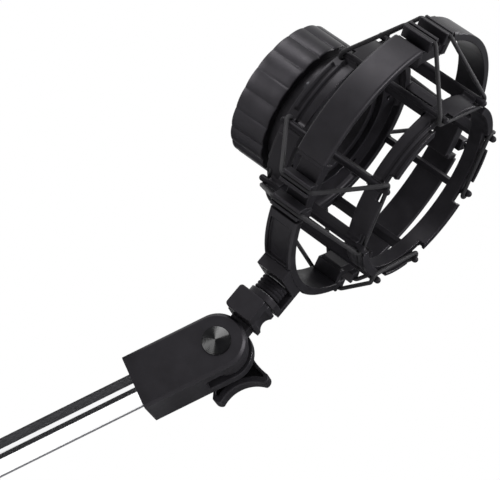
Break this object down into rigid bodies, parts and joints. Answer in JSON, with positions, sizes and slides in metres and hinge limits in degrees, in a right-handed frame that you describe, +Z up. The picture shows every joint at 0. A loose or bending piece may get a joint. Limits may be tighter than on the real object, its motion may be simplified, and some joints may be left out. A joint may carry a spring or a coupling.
{
  "type": "microphone shock mount",
  "caption": "Elastic microphone shock mount with a ribbed clamp collar, on the hinged clevis head of a chrome boom tube",
  "frame": {"origin": "Centre of the boom tube's open end", "axes": "+X along the microphone axis toward the open front of the cradle, +Z up along the stem, +Y to the far side"},
  "size_m": [0.0806, 0.1228, 0.2618],
  "materials": {
    "chrome": "polished",
    "steel": "zinc plated",
    "brass": "plain",
    "black_plastic": "satin black",
    "gloss_black": "glossy black",
    "rubber": "smooth black"
  },
  "bodies": {
    "boom": {"boom_tube": "chrome", "tube_screws": "steel", "head_block": "black_plastic", "pivot_bolt": "steel", "pivot_cap": "gloss_black", "friction_washers": "steel"},
    "wing": {"wing_knob": "black_plastic", "wing_insert": "brass"},
    "swivel": {"swivel_block": "black_plastic", "pivot_bush": "brass", "thread_stud": "steel", "stud_washer": "steel"},
    "frame": {"stand_bracket": "black_plastic", "bracket_screws": "steel", "yoke_band": "black_plastic", "near_band": "black_plastic", "far_band": "black_plastic", "top_band": "black_plastic", "hook_bridge_1": "black_plastic", "hook_bridge_2": "black_plastic", "hook_bridge_3": "black_plastic", "hook_bridge_4": "black_plastic", "elastic_1": "rubber", "elastic_2": "rubber", "elastic_3": "rubber", "elastic_4": "rubber"},
    "nut": {"captive_nut": "black_plastic"},
    "cage": {"cage_rods": "black_plastic", "front_cage_ring": "black_plastic", "rear_cage_ring": "black_plastic", "clamp_neck": "black_plastic", "neck_screws": "steel", "grip_pads": "rubber"},
    "wedge": {"wedge_ring": "steel"},
    "collar": {"locking_collar": "black_plastic", "collar_rim": "black_plastic"}
  },
  "joints": [
    {"name": "head_tilt", "type": "hinge", "parent": "boom", "child": "swivel", "pos_m": [0.04601, 0.00306, 0.09799], "axis": [-0.0663, 0.9978, 0], "range_deg": [-75, 120]},
    {"name": "wing_turn", "type": "hinge", "parent": "boom", "child": "wing", "pos_m": [0.04601, 0.00306, 0.09799], "axis": [-0.0663, 0.9978, 0], "range_deg": [0, 270]},
    {"name": "cradle_swivel", "type": "hinge", "parent": "swivel", "child": "frame", "pos_m": [0.04601, 0.00306, 0.13599], "axis": [0, 0, 1], "continuous": true},
    {"name": "nut_turn", "type": "hinge", "parent": "frame", "child": "nut", "pos_m": [0.04601, 0.00306, 0.12869], "axis": [0, 0, 1], "continuous": true},
    {"name": "cage_float", "type": "slide", "parent": "frame", "child": "cage", "axis": [1, 0, 0], "range_m": [-0.005, 0.005], "stiffness_N_per_m": 900, "deforming": ["elastic_1", "elastic_2", "elastic_3", "elastic_4"]},
    {"name": "wedge_slide", "type": "slide", "parent": "cage", "child": "wedge", "axis": [1, 0, 0], "range_m": [0, 0.0011]},
    {"name": "collar_turn", "type": "hinge", "parent": "wedge", "child": "collar", "pos_m": [0.00136, 0.00306, 0.19739], "axis": [1, 0, 0], "range_deg": [0, 180]}
  ],
  "couplings": [
    {"joint": "wedge_slide", "follows": "collar_turn", "m_per_rad": 0.00031831}
  ]
}
